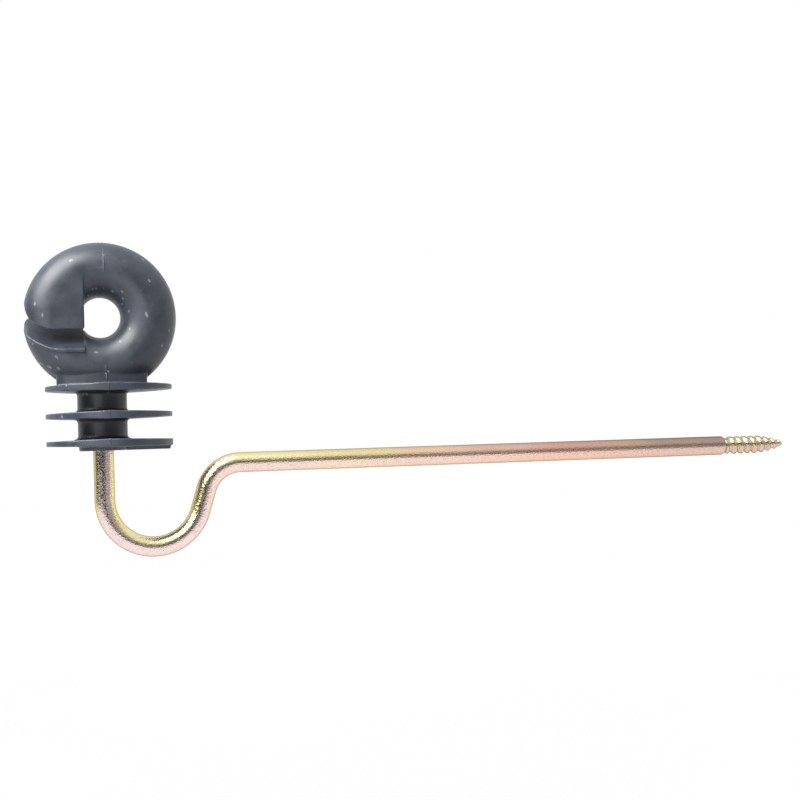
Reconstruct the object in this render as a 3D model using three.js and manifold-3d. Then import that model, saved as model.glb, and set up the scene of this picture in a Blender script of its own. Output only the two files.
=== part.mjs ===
// Offset ring insulator for an electric fence: a moulded plastic head fixed for good on a bent steel
// screw shank. Millimetres, +Z up. The origin is on the shank's axis where the thread begins, which is
// where the shank enters the post. +X runs into the post and Y is the direction of the fence wire.
import * as THREE from "three";
import { mergeVertices } from "three/addons/utils/BufferGeometryUtils.js";
import Module from "manifold-3d";

// ---- Driving dimensions -------------------------------------------------------------------------

// Steel shank
const ROD_DIAMETER = 6;
const REACH = 197; // from the head's axis to the start of the thread
const THREAD_LENGTH = 21; // thread and point together
const THREAD_PITCH = 2.4;
const THREAD_DIAMETER = 5.8;
const THREAD_ROOT_DIAMETER = 4.3;
const POINT_LENGTH = 8.5; // the gimlet point's taper
const POINT_TIP_DIAMETER = 0.6;
const THREAD_CREST_WIDTH = 0.3;
const THREAD_RUN_IN = 1.3; // from the shoulder to the middle of the ridge's first turn
const THREAD_RUN_OUT = 1.7; // from the middle of its last turn to the tip
const U_BEND_RADIUS = 14.3; // at the rod's centreline
const U_BEND_DROP = 9.8; // the U-bend's centre below the shank's axis
const RISE_ANGLE = 73; // degrees above level of the rod between its two bends
const TOP_BEND_RADIUS = 10.8;
const ANCHOR_DIAMETER = 8.6; // upset end that locks the rod in the plastic
const ANCHOR_THICKNESS = 2.2;

// Plastic head, upwards from the collar
const COLLAR_TO_SHANK = 4.75; // the collar's lower face above the shank's axis
const COLLAR_RADIUS = 7;
const COLLAR_HEIGHT = 1.1;
const NECK_RADIUS = 7.2;
const FIN_RADIUS = 18.4;
const FIN_OFFSET = 2; // the fins' centre is off the neck's axis, towards the post
const FIN_PITCH = 8.05;
const FIN_COUNT = 3;
const FIN_CENTRE_THICKNESS = 2.4;
const FIN_EDGE_THICKNESS = 1.45;
const PARTING_OFFSET = 1.1; // the mould's parting plane, across X
const WEB_THICKNESS = 3; // web under the bottom fin, from the collar towards the post
const WEB_SETBACK = 0.6; // the web's end inside the fin's rim
const PEDESTAL_WIDTH = 26;
const PEDESTAL_DEPTH = 15.6;
const RING_ABOVE_FIN = 20.75; // ring centre above the top fin's mid-plane
const RING_OUTER_RADIUS = 22.25;
const RING_HOLE_RADIUS = 5.9;
const CHEEK_EDGE = 4.8; // the flat cheeks end this far from the ring's centre
const SLOT_GAP = 5.5; // vertical opening of the slot
const SLOT_SLOPE = 0.65; // rise of the slot for each millimetre through the ring
const SLOT_CENTRE_DROP = 1.2; // the slot's middle below the ring's centre, beside the hole
const SLOT_MOUTH_RISE = 1.5; // how far the slot has turned up where it comes out of the rim
const LIP_WIDTH = 0.9; // raised lip along the lower edge of the slot
const LIP_HEIGHT = 0.35;
const ANCHOR_BELOW_HOLE = 6; // plastic between the rod's end and the wire hole

const JOINT_GAP = 0.3; // clearance between the rod and the plastic around it

// Facets
const ROD_SIDES = 16;
const ARC_STEP = 9; // degrees of bend in each station
const TURN_STEPS = 14; // stations in a turn of thread
const RING_SEGMENTS = 48;
const TUBE_SEGMENTS = 24;
const DISC_SEGMENTS = 44;
const SLOT_STEPS = 8; // stations along the slot

// ---- Derived places -----------------------------------------------------------------------------

const HEAD_X = -REACH;
const COLLAR_Z = COLLAR_TO_SHANK;
const BOTTOM_FIN_Z = COLLAR_Z + COLLAR_HEIGHT + FIN_CENTRE_THICKNESS / 2;
const TOP_FIN_Z = BOTTOM_FIN_Z + (FIN_COUNT - 1) * FIN_PITCH;
const RING_Z = TOP_FIN_Z + RING_ABOVE_FIN;
const TUBE_RADIUS = (RING_OUTER_RADIUS - RING_HOLE_RADIUS) / 2;
const CREST_RADIUS = RING_HOLE_RADIUS + TUBE_RADIUS;
const ANCHOR_TOP_Z = RING_Z - RING_HOLE_RADIUS - ANCHOR_BELOW_HOLE;
const OVERRUN = 5; // how far a cutting body reaches past what it cuts

const wasm = await Module();
wasm.setup();

const plasticMaterial = new THREE.MeshStandardMaterial({
  color: 0x4c5159,
  roughness: 0.5,
  metalness: 0,
});
const zincMaterial = new THREE.MeshStandardMaterial({
  color: 0xc9b58c,
  roughness: 0.3,
  metalness: 1,
});

// ---- Solids -------------------------------------------------------------------------------------

// A closed three.js geometry as a manifold-3d solid.
function solid(geometry) {
  const bare = geometry.index ? geometry.toNonIndexed() : geometry.clone();
  bare.deleteAttribute("normal");
  bare.deleteAttribute("uv");
  const merged = mergeVertices(bare, 1e-4);
  return new wasm.Manifold(
    new wasm.Mesh({
      numProp: 3,
      vertProperties: merged.attributes.position.array,
      triVerts: new Uint32Array(merged.index.array),
    }),
  );
}

// A manifold-3d solid as a named mesh.
function meshOf(name, body, material) {
  const made = body.getMesh();
  const geometry = new THREE.BufferGeometry();
  geometry.setAttribute("position", new THREE.BufferAttribute(made.vertProperties, made.numProp));
  geometry.setIndex(new THREE.BufferAttribute(made.triVerts, 1));
  const flat = geometry.toNonIndexed();
  flat.computeVertexNormals();
  const mesh = new THREE.Mesh(flat, material);
  mesh.name = name;
  return mesh;
}

// An upright cylinder from one height to another.
function uprightCylinder(radius, x, low, high, sides = DISC_SEGMENTS) {
  return new THREE.CylinderGeometry(radius, radius, high - low, sides)
    .rotateX(Math.PI / 2)
    .translate(x, 0, (low + high) / 2);
}

// An outline in the XZ plane, drawn as (x, z), made a prism of the given depth, centred on Y = 0.
function prismAcross(shape, depth) {
  return new THREE.ExtrudeGeometry(shape, { depth, bevelEnabled: false, curveSegments: RING_SEGMENTS / 2 })
    .rotateX(Math.PI / 2)
    .translate(0, depth / 2, 0);
}

function closedOutline(points) {
  return new THREE.Shape(points.map(([u, v]) => new THREE.Vector2(u, v)));
}

// ---- The insulator head -------------------------------------------------------------------------

// The ring with its flat cheeks, every outside face moved out by the growth.
function ringBody(growth) {
  const tube = TUBE_RADIUS + growth;
  const ring = new THREE.TorusGeometry(CREST_RADIUS, tube, TUBE_SEGMENTS, RING_SEGMENTS)
    .rotateX(Math.PI / 2)
    .translate(HEAD_X, 0, RING_Z);
  // The cheeks are flat from the ring's crest to a straight edge beside the hole, so that the hole's
  // side towards the slot is a straight wall.
  const half = Math.acos(CHEEK_EDGE / CREST_RADIUS);
  const cheek = new THREE.Shape();
  cheek.absarc(HEAD_X, RING_Z, CREST_RADIUS, Math.PI - half, Math.PI + half);
  return solid(ring).add(solid(prismAcross(cheek, 2 * tube)));
}

// How far the slot has risen at a place along X: level beside the hole, then up towards the rim.
function mouthRise(x) {
  const along = (HEAD_X - CREST_RADIUS - x) / TUBE_RADIUS;
  return SLOT_MOUTH_RISE * Math.max(along, 0);
}

// A slab along X that leans with the slot and turns up with it, between two heights above the slot's
// middle surface.
function leaningSlab(low, high, fromX, toX) {
  const reach = RING_OUTER_RADIUS;
  const middle = RING_Z - SLOT_CENTRE_DROP;
  const section = closedOutline([
    [-reach, middle - SLOT_SLOPE * reach + low],
    [reach, middle + SLOT_SLOPE * reach + low],
    [reach, middle + SLOT_SLOPE * reach + high],
    [-reach, middle - SLOT_SLOPE * reach + high],
  ]);
  // The outline is drawn as (y, z) and pulled along +X.
  const basis = new THREE.Matrix4().makeBasis(
    new THREE.Vector3(0, 1, 0),
    new THREE.Vector3(0, 0, 1),
    new THREE.Vector3(1, 0, 0),
  );
  const slab = new THREE.ExtrudeGeometry(section, {
    depth: toX - fromX,
    steps: SLOT_STEPS,
    bevelEnabled: false,
  })
    .applyMatrix4(basis)
    .translate(fromX, 0, 0);
  const places = slab.attributes.position;
  for (let i = 0; i < places.count; i++) places.setZ(i, places.getZ(i) + mouthRise(places.getX(i)));
  return solid(slab);
}

// A thin shed, thickest at the mould's parting plane and tapering to both sides.
function fin(z) {
  const centre = HEAD_X + FIN_OFFSET;
  const parting = HEAD_X + PARTING_OFFSET;
  const low = centre - FIN_RADIUS;
  const high = centre + FIN_RADIUS;
  const wedge = closedOutline([
    [low, z - FIN_EDGE_THICKNESS / 2],
    [parting, z - FIN_CENTRE_THICKNESS / 2],
    [high, z - FIN_EDGE_THICKNESS / 2],
    [high, z + FIN_EDGE_THICKNESS / 2],
    [parting, z + FIN_CENTRE_THICKNESS / 2],
    [low, z + FIN_EDGE_THICKNESS / 2],
  ]);
  const thickness = FIN_CENTRE_THICKNESS + OVERRUN;
  const disc = uprightCylinder(FIN_RADIUS, centre, z - thickness / 2, z + thickness / 2);
  return solid(prismAcross(wedge, 2 * FIN_RADIUS + OVERRUN)).intersect(solid(disc));
}

// The web that stiffens the bottom fin on the post's side, flush with the collar's lower face.
function finWeb() {
  const end = HEAD_X + FIN_OFFSET + FIN_RADIUS - WEB_SETBACK;
  const outline = closedOutline([
    [HEAD_X, COLLAR_Z],
    [end, COLLAR_Z],
    [end, BOTTOM_FIN_Z],
    [HEAD_X, BOTTOM_FIN_Z],
  ]);
  return solid(prismAcross(outline, WEB_THICKNESS));
}

function insulatorHead() {
  const slotEnd = HEAD_X - CHEEK_EDGE;
  const slotStart = HEAD_X - RING_OUTER_RADIUS - OVERRUN;
  const slotLow = -SLOT_GAP / 2;
  let body = ringBody(0);
  const lip = ringBody(LIP_HEIGHT).intersect(leaningSlab(slotLow - LIP_WIDTH, slotLow, slotStart, slotEnd));
  body = body.add(lip);
  // The slot ends at the cheeks' edge, where it opens into the hole.
  body = body.subtract(leaningSlab(slotLow, SLOT_GAP / 2, slotStart, slotEnd));

  const pedestalTop = RING_Z - CREST_RADIUS;
  const pedestal = new THREE.BoxGeometry(PEDESTAL_WIDTH, PEDESTAL_DEPTH, pedestalTop - TOP_FIN_Z).translate(
    HEAD_X,
    0,
    (pedestalTop + TOP_FIN_Z) / 2,
  );
  body = body.add(solid(pedestal));
  for (let i = 0; i < FIN_COUNT; i++) body = body.add(fin(BOTTOM_FIN_Z + i * FIN_PITCH));
  body = body.add(solid(uprightCylinder(NECK_RADIUS, HEAD_X, BOTTOM_FIN_Z, TOP_FIN_Z)));
  body = body.add(solid(uprightCylinder(COLLAR_RADIUS, HEAD_X, COLLAR_Z, BOTTOM_FIN_Z)));
  body = body.add(finWeb());
  return body.subtract(rodSocket());
}

// The space that the rod's leg and its upset end take in the plastic.
function rodSocket() {
  const bore = ROD_DIAMETER / 2 + JOINT_GAP;
  const pocket = ANCHOR_DIAMETER / 2 + JOINT_GAP;
  const top = ANCHOR_TOP_Z + JOINT_GAP;
  const shoulder = ANCHOR_TOP_Z - ANCHOR_THICKNESS - JOINT_GAP;
  const leg = solid(uprightCylinder(bore, HEAD_X, COLLAR_Z - OVERRUN, top, ROD_SIDES));
  return leg.add(solid(uprightCylinder(pocket, HEAD_X, shoulder, top, ROD_SIDES)));
}

// ---- The screw shank ----------------------------------------------------------------------------

// A route through given stations, each with its own direction, in the XZ plane.
class StationRoute extends THREE.Curve {
  constructor(stations) {
    super();
    this.stations = stations;
  }
  getPointAt(u) {
    return this.stations[Math.round(u * (this.stations.length - 1))].point.clone();
  }
  computeFrenetFrames() {
    const tangents = this.stations.map((s) => s.heading.clone());
    const binormals = tangents.map(() => new THREE.Vector3(0, 1, 0));
    const normals = tangents.map((t, i) => new THREE.Vector3().crossVectors(binormals[i], t));
    return { tangents, normals, binormals };
  }
}

// The rod's stations, from its top end in the head down the leg, round the U-bend, up and round the top
// bend, and along the shank to the start of the thread.
function rodStations() {
  const rise = THREE.MathUtils.degToRad(RISE_ANGLE);
  const stations = [];
  const add = (x, z, heading) => {
    const direction = new THREE.Vector3(Math.cos(heading), 0, Math.sin(heading));
    stations.push({ point: new THREE.Vector3(x, 0, z), heading: direction });
  };
  const arc = (centreX, centreZ, radius, from, to, turn) => {
    const steps = Math.ceil(Math.abs(to - from) / THREE.MathUtils.degToRad(ARC_STEP));
    for (let i = 0; i <= steps; i++) {
      const heading = from + ((to - from) * i) / steps;
      const spoke = heading - (turn * Math.PI) / 2;
      add(centreX + radius * Math.cos(spoke), centreZ + radius * Math.sin(spoke), heading);
    }
  };
  const uCentreX = HEAD_X + U_BEND_RADIUS;
  const straight =
    (U_BEND_DROP + U_BEND_RADIUS * Math.cos(rise) - TOP_BEND_RADIUS * (1 - Math.cos(rise))) / Math.sin(rise);
  const topCentreX = uCentreX + (U_BEND_RADIUS + TOP_BEND_RADIUS) * Math.sin(rise) + straight * Math.cos(rise);
  add(HEAD_X, ANCHOR_TOP_Z - ANCHOR_THICKNESS / 2, -Math.PI / 2);
  arc(uCentreX, -U_BEND_DROP, U_BEND_RADIUS, -Math.PI / 2, rise, 1);
  arc(topCentreX, -TOP_BEND_RADIUS, TOP_BEND_RADIUS, rise, 0, -1);
  add(0, 0, 0);
  return stations;
}

// Radius of the thread's core at a distance along the shank from where the thread begins.
function coreRadius(x) {
  const root = THREAD_ROOT_DIAMETER / 2;
  const tip = POINT_TIP_DIAMETER / 2;
  const taper = (THREAD_LENGTH - x) / POINT_LENGTH;
  return taper >= 1 ? root : tip + (root - tip) * Math.sqrt(Math.max(taper, 0));
}

// The thread's ridge as a route round the core. Its section keeps one side towards the axis.
class ThreadRoute extends THREE.Curve {
  constructor(start, end) {
    super();
    this.start = start;
    this.end = end;
  }
  stationAt(u) {
    const x = this.start + (this.end - this.start) * u;
    const angle = (2 * Math.PI * x) / THREAD_PITCH;
    return { x, radius: coreRadius(x), angle };
  }
  getPointAt(u) {
    const { x, radius, angle } = this.stationAt(u);
    return new THREE.Vector3(x, radius * Math.cos(angle), radius * Math.sin(angle));
  }
  computeFrenetFrames(steps) {
    const frames = { tangents: [], normals: [], binormals: [] };
    for (let i = 0; i <= steps; i++) {
      const { angle } = this.stationAt(i / steps);
      frames.tangents.push(new THREE.Vector3(0, -Math.sin(angle), Math.cos(angle)));
      frames.normals.push(new THREE.Vector3(0, Math.cos(angle), Math.sin(angle)));
      frames.binormals.push(new THREE.Vector3(-1, 0, 0));
    }
    return frames;
  }
}

function threadRidge() {
  const height = (THREAD_DIAMETER - THREAD_ROOT_DIAMETER) / 2;
  const sunk = height / 3;
  const foot = (THREAD_PITCH - THREAD_CREST_WIDTH) / 2;
  const section = closedOutline([
    [-sunk, -foot / 2],
    [height, -THREAD_CREST_WIDTH / 2],
    [height, THREAD_CREST_WIDTH / 2],
    [-sunk, foot / 2],
  ]);
  const route = new ThreadRoute(THREAD_RUN_IN, THREAD_LENGTH - THREAD_RUN_OUT);
  const turns = (route.end - route.start) / THREAD_PITCH;
  const steps = Math.round(turns * TURN_STEPS);
  return solid(new THREE.ExtrudeGeometry(section, { steps, extrudePath: route, bevelEnabled: false }));
}

// The thread's core, from a shoulder on the shank to the tip.
function threadCore() {
  const shoulder = (ROD_DIAMETER - THREAD_ROOT_DIAMETER) / 2;
  const profile = [
    [0, -shoulder],
    [ROD_DIAMETER / 2, -shoulder],
    [ROD_DIAMETER / 2, 0],
    [THREAD_ROOT_DIAMETER / 2, shoulder],
  ];
  const pointSteps = 6;
  for (let i = 0; i <= pointSteps; i++) {
    const x = THREAD_LENGTH - POINT_LENGTH + (POINT_LENGTH * i) / pointSteps;
    profile.push([coreRadius(x), x]);
  }
  profile.push([0, THREAD_LENGTH]);
  const outline = profile.map(([radius, x]) => new THREE.Vector2(radius, x));
  return solid(new THREE.LatheGeometry(outline, ROD_SIDES).rotateZ(-Math.PI / 2));
}

function screwShank() {
  const section = new THREE.Shape();
  section.absarc(0, 0, ROD_DIAMETER / 2, 0, 2 * Math.PI);
  const stations = rodStations();
  const rod = new THREE.ExtrudeGeometry(section, {
    steps: stations.length - 1,
    extrudePath: new StationRoute(stations),
    bevelEnabled: false,
    curveSegments: ROD_SIDES,
  });
  const anchor = uprightCylinder(
    ANCHOR_DIAMETER / 2,
    HEAD_X,
    ANCHOR_TOP_Z - ANCHOR_THICKNESS,
    ANCHOR_TOP_Z,
    ROD_SIDES,
  );
  return solid(rod).add(solid(anchor)).add(threadCore()).add(threadRidge());
}

// ---- The assembly -------------------------------------------------------------------------------

const insulator = new THREE.Group();
insulator.name = "ring_insulator";
insulator.add(meshOf("insulator_head", insulatorHead(), plasticMaterial));
insulator.add(meshOf("screw_shank", screwShank(), zincMaterial));

export default insulator;
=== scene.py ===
"""Offset ring insulator for an electric fence: its moulded plastic head and its zinc-plated screw shank."""

import logging
import math
from contextlib import contextmanager
from dataclasses import dataclass, field
from enum import Enum
from typing import Any, Callable, Iterator

import bmesh
import bpy
from mathutils import Matrix, Vector


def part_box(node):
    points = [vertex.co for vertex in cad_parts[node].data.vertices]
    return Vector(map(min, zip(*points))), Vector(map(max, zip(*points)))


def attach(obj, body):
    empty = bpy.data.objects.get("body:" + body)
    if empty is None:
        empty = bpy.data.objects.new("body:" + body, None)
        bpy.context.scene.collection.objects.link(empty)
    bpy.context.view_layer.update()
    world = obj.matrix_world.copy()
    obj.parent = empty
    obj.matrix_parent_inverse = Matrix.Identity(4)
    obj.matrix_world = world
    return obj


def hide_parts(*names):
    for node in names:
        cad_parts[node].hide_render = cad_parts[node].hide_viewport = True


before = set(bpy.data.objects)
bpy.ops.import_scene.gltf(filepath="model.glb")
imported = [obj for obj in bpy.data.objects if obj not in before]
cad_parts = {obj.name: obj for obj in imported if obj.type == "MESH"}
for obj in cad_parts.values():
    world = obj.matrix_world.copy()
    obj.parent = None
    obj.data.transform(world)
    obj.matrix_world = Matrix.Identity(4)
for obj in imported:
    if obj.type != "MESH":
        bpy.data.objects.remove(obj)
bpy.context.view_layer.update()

log = logging.getLogger("ring_insulator")

MM = 0.001  # metres in a millimetre; the pieces are modelled in millimetres and brought to metres last
EASED = {"interpolation_type": "SMOOTHSTEP"}  # a Map Range node that eases in and out
COLOURS = {"data_type": "RGBA"}  # a Mix node for colours: 0 is the amount, 6 and 7 are the colours
Point = tuple[float, float, float]
Stops = tuple[tuple[float, str], ...]


class Select(Enum):
    """What a selection in edit mode takes."""

    VERTS = "VERT"
    FACES = "FACE"


class Cut(Enum):
    """How one body changes another."""

    SUBTRACT = "DIFFERENCE"
    KEEP_COMMON = "INTERSECT"
    ADD = "UNION"


# ---- The modelling bench ------------------------------------------------------------------------


def clear_selection() -> None:
    """Leaves edit mode and deselects every object."""
    if bpy.context.object is not None and bpy.context.object.mode != "OBJECT":
        bpy.ops.object.mode_set(mode="OBJECT")
    bpy.ops.object.select_all(action="DESELECT")


def make_active(obj: bpy.types.Object) -> None:
    """Selects one object alone and makes it the active one.

    Args:
        obj: The object.
    """
    clear_selection()
    obj.select_set(True)
    bpy.context.view_layer.objects.active = obj


def settle(name: str) -> bpy.types.Object:
    """Names the primitive that was just added and puts its place into its mesh.

    Args:
        name: The object's name.

    Returns:
        The object, at the origin, unturned and unscaled.
    """
    obj = bpy.context.active_object
    obj.name = name
    obj.data.name = name
    make_active(obj)
    bpy.ops.object.transform_apply(location=True, rotation=True, scale=True)
    return obj


@contextmanager
def editing(obj: bpy.types.Object) -> Iterator[None]:
    """Holds an object in edit mode, starting with nothing selected.

    Args:
        obj: The mesh object to edit.
    """
    make_active(obj)
    bpy.ops.object.mode_set(mode="EDIT")
    bpy.ops.mesh.select_all(action="DESELECT")
    try:
        yield
    finally:
        bpy.ops.object.mode_set(mode="OBJECT")


def pick(obj: bpy.types.Object, kind: Select, test: Callable[[Vector], bool]) -> None:
    """Selects what lies where a test says, in edit mode, and nothing else.

    Args:
        obj: The object being edited.
        kind: Whether vertices or faces are taken.
        test: Told a vertex's place or a face's middle.
    """
    bpy.ops.mesh.select_mode(type=kind.value)
    bpy.ops.mesh.select_all(action="DESELECT")
    mesh = bmesh.from_edit_mesh(obj.data)
    if kind is Select.VERTS:
        for vert in mesh.verts:
            vert.select_set(test(vert.co))
    else:
        for face in mesh.faces:
            face.select_set(test(face.calc_center_median()))
    mesh.select_flush_mode()
    bmesh.update_edit_mesh(obj.data)


def extrude(step: Point) -> None:
    """Extrudes the selected faces by a step along each axis."""
    bpy.ops.mesh.extrude_region_move(TRANSFORM_OT_translate={"value": step})


def shear_off(point: Point, normal: Point) -> None:
    """Cuts the mesh being edited off at a plane and closes it there.

    Args:
        point: A point on the plane.
        normal: The plane's normal, towards what is cut off.
    """
    bpy.ops.mesh.select_all(action="SELECT")
    way = Vector(normal).normalized()
    bpy.ops.mesh.bisect(plane_co=point, plane_no=way, use_fill=True, clear_outer=True)


def combine(target: bpy.types.Object, tool: bpy.types.Object, how: Cut, keep_tool: bool = False) -> None:
    """Cuts, trims or builds up one body with another.

    Args:
        target: The body that is changed.
        tool: The body that changes it.
        how: What is done.
        keep_tool: Whether the tool is used again.
    """
    make_active(target)
    bpy.ops.object.modifier_add(type="BOOLEAN")
    modifier = target.modifiers[-1]
    modifier.operation = how.value
    modifier.solver = "EXACT"
    modifier.object = tool
    bpy.ops.object.modifier_apply(modifier=modifier.name)
    if not keep_tool:
        bpy.data.objects.remove(tool, do_unlink=True)


def join(parts: list[bpy.types.Object], name: str) -> bpy.types.Object:
    """Joins objects into one with a new name.

    Args:
        parts: The objects, of which the first stays.
        name: The joined object's name.

    Returns:
        The joined object.
    """
    clear_selection()
    for part in parts:
        part.select_set(True)
    bpy.context.view_layer.objects.active = parts[0]
    bpy.ops.object.join()
    parts[0].name = name
    parts[0].data.name = name
    return parts[0]


def copy_of(obj: bpy.types.Object, shift: Point) -> bpy.types.Object:
    """Copies an object with a mesh of its own.

    Args:
        obj: The object to copy.
        shift: How far the copy is moved.

    Returns:
        The copy, with its place in its mesh.
    """
    make_active(obj)
    bpy.ops.object.duplicate(linked=False)
    twin = bpy.context.active_object
    twin.location = shift
    bpy.ops.object.transform_apply(location=True, rotation=True, scale=True)
    return twin


def apply_modifier(obj: bpy.types.Object, kind: str, **settings: Any) -> None:
    """Adds a modifier with its settings and applies it.

    Args:
        obj: The object that is changed.
        kind: The modifier's type.
        settings: The modifier's settings by name.
    """
    make_active(obj)
    bpy.ops.object.modifier_add(type=kind)
    modifier = obj.modifiers[-1]
    for key, value in settings.items():
        setattr(modifier, key, value)
    bpy.ops.object.modifier_apply(modifier=modifier.name)


def bring_to_metres(obj: bpy.types.Object) -> None:
    """Scales a finished piece from millimetres to metres, in its mesh.

    Args:
        obj: The piece.
    """
    make_active(obj)
    obj.scale = (MM, MM, MM)
    bpy.ops.object.transform_apply(location=True, rotation=True, scale=True)


# ---- Finishes -----------------------------------------------------------------------------------


def linear(colour: str) -> tuple[float, float, float, float]:
    """Turns an sRGB hex colour to linear.

    Args:
        colour: Six hex digits.

    Returns:
        The colour as linear red, green and blue, and an alpha of 1.
    """
    parts = [int(colour[i : i + 2], 16) / 255 for i in (0, 2, 4)]
    red, green, blue = (c / 12.92 if c <= 0.04045 else ((c + 0.055) / 1.055) ** 2.4 for c in parts)
    return red, green, blue, 1.0


def per_mm(size: float) -> float:
    """Turns the size of a pattern's grains in millimetres to a texture scale, in grains to the metre."""
    return 1 / (size * MM)


def add_node(
    tree: bpy.types.NodeTree,
    kind: str,
    settings: dict[str, Any] | None = None,
    inputs: dict[str | int, Any] | None = None,
    stops: Stops = (),
) -> bpy.types.Node:
    """Adds a shader node with its settings, values and links.

    Args:
        tree: The node tree.
        kind: The node's type.
        settings: The node's own properties.
        inputs: By input name or number, a value, or the output socket that feeds it.
        stops: A colour ramp's places from 0 to 1, with sRGB hex colours that ease into each other.

    Returns:
        The node.
    """
    node = tree.nodes.new(kind)
    for key, value in (settings or {}).items():
        setattr(node, key, value)
    for key, value in (inputs or {}).items():
        if isinstance(value, bpy.types.NodeSocket):
            tree.links.new(value, node.inputs[key])
        else:
            node.inputs[key].default_value = value
    if stops:
        node.color_ramp.interpolation = "EASE"
        elements = node.color_ramp.elements
        while len(elements) < len(stops):
            elements.new(1.0)
        for element, (place, colour) in zip(elements, stops):
            element.position = place
            element.color = linear(colour)
    return node


def new_material(name: str) -> tuple[bpy.types.Material, bpy.types.NodeTree]:
    """Starts a material.

    Args:
        name: The material's name.

    Returns:
        The material and its empty node tree.
    """
    material = bpy.data.materials.new(name)
    material.use_nodes = True
    material.node_tree.nodes.clear()
    return material, material.node_tree


@dataclass(frozen=True)
class MouldedPolymer:
    """Injection-moulded, UV-stabilised polyamide.

    It gives the eye slate grey all through, a soft satin skin that is duller where the melt flowed in late,
    painted highlights along its outer edges, and small pale specks from handling."""

    slate_deep: str = "2a2f37"
    slate_pale: str = "353a44"
    # pale colour of the handling specks, also laid on the outer edges as a painted highlight
    speck_and_edge_highlight_colour: str = "858b95"
    flow_size: float = 7.0  # mm, patches of the melt's flow
    flow_span: tuple[float, float] = (0.35, 0.65)  # the pattern's values for deep and pale slate
    satin_span: tuple[float, float] = (0.3, 0.7)  # and for the smoothest and the dullest skin
    grain_size: float = 0.35  # mm, the tool's eroded skin, drawn a little coarse so that it shows
    grain_depth: float = 0.04  # mm
    grain_strength: float = 0.35
    flow_height: float = 2.0  # the patches' height in the bump, against the grain's
    speck_size: float = 2.1  # mm between the possible places of specks
    speck_core: float = 0.03  # share of speck_size that a speck fills at full strength
    speck_reach: float = 0.065  # share of speck_size where it has faded out
    speck_strength: float = 0.35
    edge_highlight_start: float = 0.52  # pointiness where the painted edge highlight starts; 0.5 is flat
    edge_highlight_full: float = 0.6
    edge_highlight_strength: float = 0.55
    roughness_low: float = 0.34
    roughness_high: float = 0.47
    ior: float = 1.53

    def material(self) -> bpy.types.Material:
        """Builds the finish.

        Returns:
            The material.
        """
        material, tree = new_material("moulded_slate_polyamide")
        place = add_node(tree, "ShaderNodeTexCoord").outputs["Object"]
        flow = add_node(
            tree,
            "ShaderNodeTexNoise",
            inputs={"Vector": place, "Scale": per_mm(self.flow_size), "Detail": 4.0, "Roughness": 0.6},
        ).outputs["Fac"]
        slate = add_node(
            tree,
            "ShaderNodeValToRGB",
            inputs={"Fac": flow},
            stops=((self.flow_span[0], self.slate_deep), (self.flow_span[1], self.slate_pale)),
        ).outputs["Color"]
        satin = add_node(
            tree,
            "ShaderNodeMapRange",
            EASED,
            {
                "Value": flow,
                "From Min": self.satin_span[0],
                "From Max": self.satin_span[1],
                "To Min": self.roughness_low,
                "To Max": self.roughness_high,
            },
        ).outputs["Result"]
        # the pale colour covers the specks and the painted edge highlight
        colour = add_node(
            tree,
            "ShaderNodeMix",
            COLOURS,
            {0: self.specks_and_edge_highlights(tree, place), 6: slate, 7: linear(self.speck_and_edge_highlight_colour)},
        ).outputs[2]
        shader = add_node(
            tree,
            "ShaderNodeBsdfPrincipled",
            inputs={
                "Base Color": colour,
                "Roughness": satin,
                "IOR": self.ior,
                "Normal": self.grained(tree, place, flow),
            },
        )
        add_node(tree, "ShaderNodeOutputMaterial", inputs={"Surface": shader.outputs["BSDF"]})
        return material

    def specks_and_edge_highlights(self, tree: bpy.types.NodeTree, place: bpy.types.NodeSocket) -> bpy.types.NodeSocket:
        """Finds where the skin takes the pale colour: its specks, and a painted highlight on its outer
        edges.

        Args:
            tree: The node tree.
            place: The object's coordinates.

        Returns:
            The share's socket.
        """
        cells = add_node(
            tree,
            "ShaderNodeTexVoronoi",
            inputs={"Vector": place, "Scale": per_mm(self.speck_size), "Randomness": 1.0},
        ).outputs["Distance"]
        specks = add_node(
            tree,
            "ShaderNodeMapRange",
            EASED,
            {
                "Value": cells,
                "From Min": self.speck_core,
                "From Max": self.speck_reach,
                "To Min": self.speck_strength,
                "To Max": 0.0,
            },
        ).outputs["Result"]
        # painted highlight: convex edges, found by pointiness, are paled as if catching the light
        edges = add_node(
            tree,
            "ShaderNodeMapRange",
            EASED,
            {
                "Value": add_node(tree, "ShaderNodeNewGeometry").outputs["Pointiness"],
                "From Min": self.edge_highlight_start,
                "From Max": self.edge_highlight_full,
                "To Min": 0.0,
                "To Max": self.edge_highlight_strength,
            },
        ).outputs["Result"]
        either = add_node(tree, "ShaderNodeMath", {"operation": "MAXIMUM"}, {0: specks, 1: edges})
        return either.outputs["Value"]

    def grained(
        self, tree: bpy.types.NodeTree, place: bpy.types.NodeSocket, flow: bpy.types.NodeSocket
    ) -> bpy.types.NodeSocket:
        """Bumps the skin with the tool's fine grain and the flow's shallow patches.

        Args:
            tree: The node tree.
            place: The object's coordinates.
            flow: The melt's flow.

        Returns:
            The bumped normal's socket.
        """
        grain = add_node(
            tree,
            "ShaderNodeTexNoise",
            inputs={"Vector": place, "Scale": per_mm(self.grain_size), "Detail": 3.0, "Roughness": 0.6},
        ).outputs["Fac"]
        patches = add_node(
            tree, "ShaderNodeMath", {"operation": "MULTIPLY"}, {0: flow, 1: self.flow_height}
        ).outputs["Value"]
        height = add_node(
            tree, "ShaderNodeMath", {"operation": "ADD"}, {0: grain, 1: patches}
        ).outputs["Value"]
        bump = add_node(
            tree,
            "ShaderNodeBump",
            inputs={
                "Height": height,
                "Strength": self.grain_strength,
                "Distance": self.grain_depth * MM,
            },
        )
        return bump.outputs["Normal"]


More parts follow.
